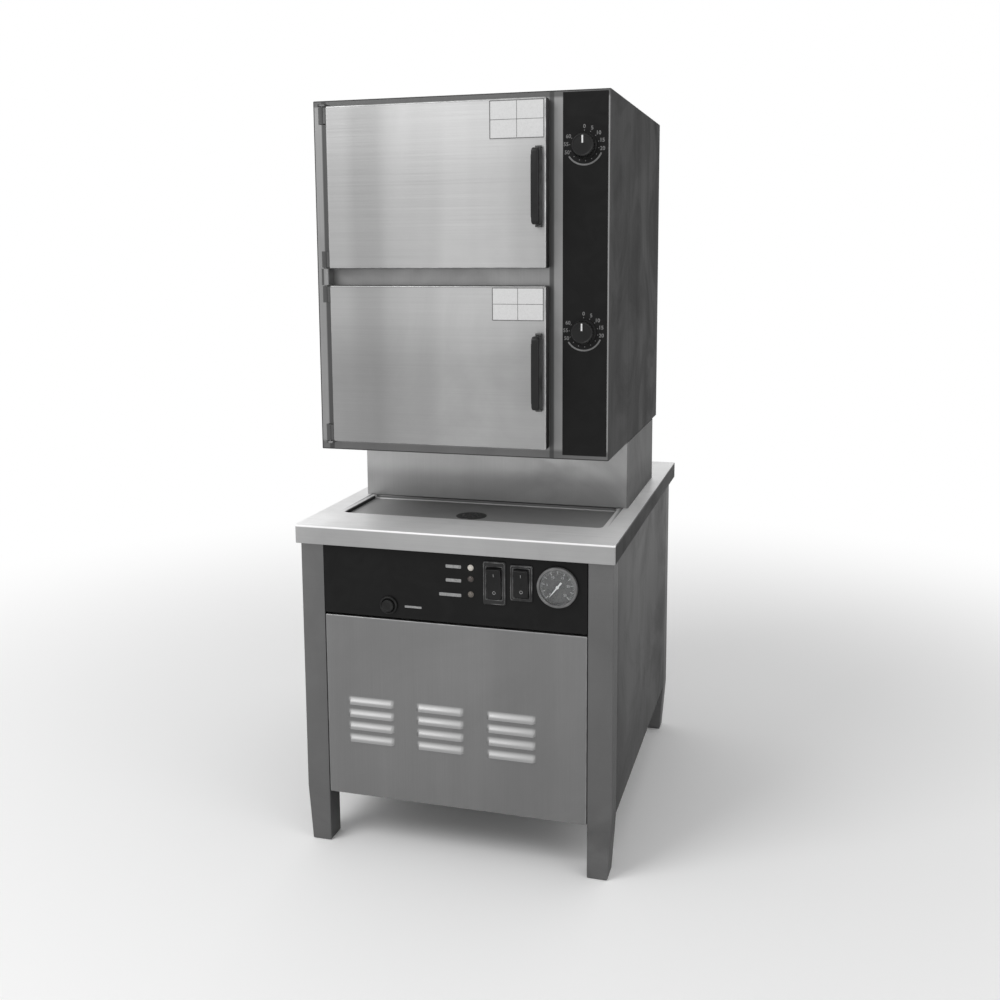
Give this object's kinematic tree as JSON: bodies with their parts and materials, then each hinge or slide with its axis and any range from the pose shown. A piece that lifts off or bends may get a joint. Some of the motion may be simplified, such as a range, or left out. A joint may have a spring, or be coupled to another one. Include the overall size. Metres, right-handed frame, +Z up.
{
  "type": "pressureless steamer",
  "caption": "Floor-standing pressureless steamer: stacked compartments with hinged doors and pan guides, on a pedestal above a boiler cabinet with a counter.",
  "frame": {"origin": "on the floor under the middle of the counter", "axes": "+Z up, the front with the doors faces -Y, +X to the right seen from the front"},
  "size_m": [0.61, 0.81, 1.414],
  "materials": {
    "brushed_steel": "brushed stainless sheet",
    "casing_steel": "dull stainless sheet",
    "counter_steel": "brushed stainless sheet",
    "painted_steel": "grey finished sheet steel",
    "black_panel": "black overlaid sheet",
    "black_plastic": "moulded black plastic",
    "silicone": "moulded silicone",
    "clear_glass": "flat clear glass",
    "amber_lens": "translucent moulded lens",
    "white_enamel": "enamelled pointer",
    "brass": "machined brass",
    "copper": "copper tube"
  },
  "bodies": {
    "cabinet": {"pressure_gauge_case": "brushed_steel", "pedestal": "brushed_steel", "head_front_frame": "brushed_steel", "upper_compartment": "brushed_steel", "lower_compartment": "brushed_steel", "upper_pan_guide_left": "brushed_steel", "upper_pan_guide_right": "brushed_steel", "lower_pan_guide_left": "brushed_steel", "lower_pan_guide_right": "brushed_steel", "upper_timer": "brushed_steel", "lower_timer": "brushed_steel", "boiler_tank": "brushed_steel", "boiler_heater_lid": "brushed_steel", "tray_drain_pipe": "brushed_steel", "drain_box": "brushed_steel", "head_casing": "casing_steel", "head_rear_panel": "casing_steel", "top_hinge_bracket": "casing_steel", "middle_hinge_bracket": "casing_steel", "bottom_hinge_bracket": "casing_steel", "electrical_box": "casing_steel", "counter_top": "counter_steel", "drain_strainer": "counter_steel", "leg_front_left": "painted_steel", "leg_front_right": "painted_steel", "leg_rear_left": "painted_steel", "leg_rear_right": "painted_steel", "side_panel_left": "painted_steel", "side_panel_right": "painted_steel", "rear_panel": "painted_steel", "bottom_shelf": "painted_steel", "louvred_front_panel": "painted_steel", "lower_control_panel": "black_panel", "control_strip": "black_panel", "main_switch_bezel": "black_plastic", "delime_switch_bezel": "black_plastic", "reset_button_collar": "black_plastic", "gauge_lens": "clear_glass", "indicator_light_1": "amber_lens", "indicator_light_2": "amber_lens", "indicator_light_3": "amber_lens", "level_column": "brass", "water_inlet_valve": "brass", "compartment_drain_pipe": "copper", "upper_steam_pipe": "copper", "lower_steam_pipe": "copper"},
    "upper_door": {"upper_door_shell": "brushed_steel", "upper_door_liner": "brushed_steel", "upper_door_gasket": "silicone"},
    "lower_door": {"lower_door_shell": "brushed_steel", "lower_door_liner": "brushed_steel", "lower_door_gasket": "silicone"},
    "upper_handle": {"upper_door_handle": "black_plastic"},
    "lower_handle": {"lower_door_handle": "black_plastic"},
    "upper_knob": {"upper_timer_knob": "black_plastic"},
    "lower_knob": {"lower_timer_knob": "black_plastic"},
    "main_rocker": {"main_switch_rocker": "black_plastic"},
    "delime_rocker": {"delime_switch_rocker": "black_plastic"},
    "needle": {"gauge_needle": "white_enamel"},
    "reset": {"reset_button": "black_plastic"}
  },
  "joints": [
    {"name": "upper_door_hinge", "type": "hinge", "parent": "cabinet", "child": "upper_door", "pos_m": [-0.2525, -0.35, 1.255], "axis": [0, 0, -1], "range_deg": [0, 120]},
    {"name": "upper_handle_lever", "type": "hinge", "parent": "upper_door", "child": "upper_handle", "pos_m": [0.158, -0.3647, 1.249], "axis": [0, 0, 1], "range_deg": [0, 14], "stiffness_Nm_per_rad": 1.2, "springref_deg": -6.88},
    {"name": "upper_timer_turn", "type": "hinge", "parent": "cabinet", "child": "upper_knob", "pos_m": [0.2316, -0.3321, 1.319], "axis": [0, 1, 0], "range_deg": [0, 300]},
    {"name": "lower_door_hinge", "type": "hinge", "parent": "cabinet", "child": "lower_door", "pos_m": [-0.2525, -0.35, 0.932], "axis": [0, 0, -1], "range_deg": [0, 120]},
    {"name": "lower_handle_lever", "type": "hinge", "parent": "lower_door", "child": "lower_handle", "pos_m": [0.158, -0.3647, 0.926], "axis": [0, 0, 1], "range_deg": [0, 14], "stiffness_Nm_per_rad": 1.2, "springref_deg": -6.88},
    {"name": "lower_timer_turn", "type": "hinge", "parent": "cabinet", "child": "lower_knob", "pos_m": [0.2316, -0.3321, 0.996], "axis": [0, 1, 0], "range_deg": [0, 300]},
    {"name": "main_switch_rock", "type": "hinge", "parent": "cabinet", "child": "main_rocker", "pos_m": [0.082, -0.3913, 0.5445], "axis": [-1, 0, 0], "range_deg": [0, 14]},
    {"name": "delime_switch_rock", "type": "hinge", "parent": "cabinet", "child": "delime_rocker", "pos_m": [0.1327, -0.3913, 0.548], "axis": [-1, 0, 0], "range_deg": [0, 14]},
    {"name": "gauge_needle_turn", "type": "hinge", "parent": "cabinet", "child": "needle", "pos_m": [0.1993, -0.3913, 0.546], "axis": [0, 1, 0], "range_deg": [0, 270], "stiffness_Nm_per_rad": 0.0002, "springref_deg": -17.19},
    {"name": "reset_button_press", "type": "slide", "parent": "cabinet", "child": "reset", "axis": [0, 1, 0], "range_m": [0, 0.003], "stiffness_N_per_m": 600, "springref_m": -0.002}
  ]
}
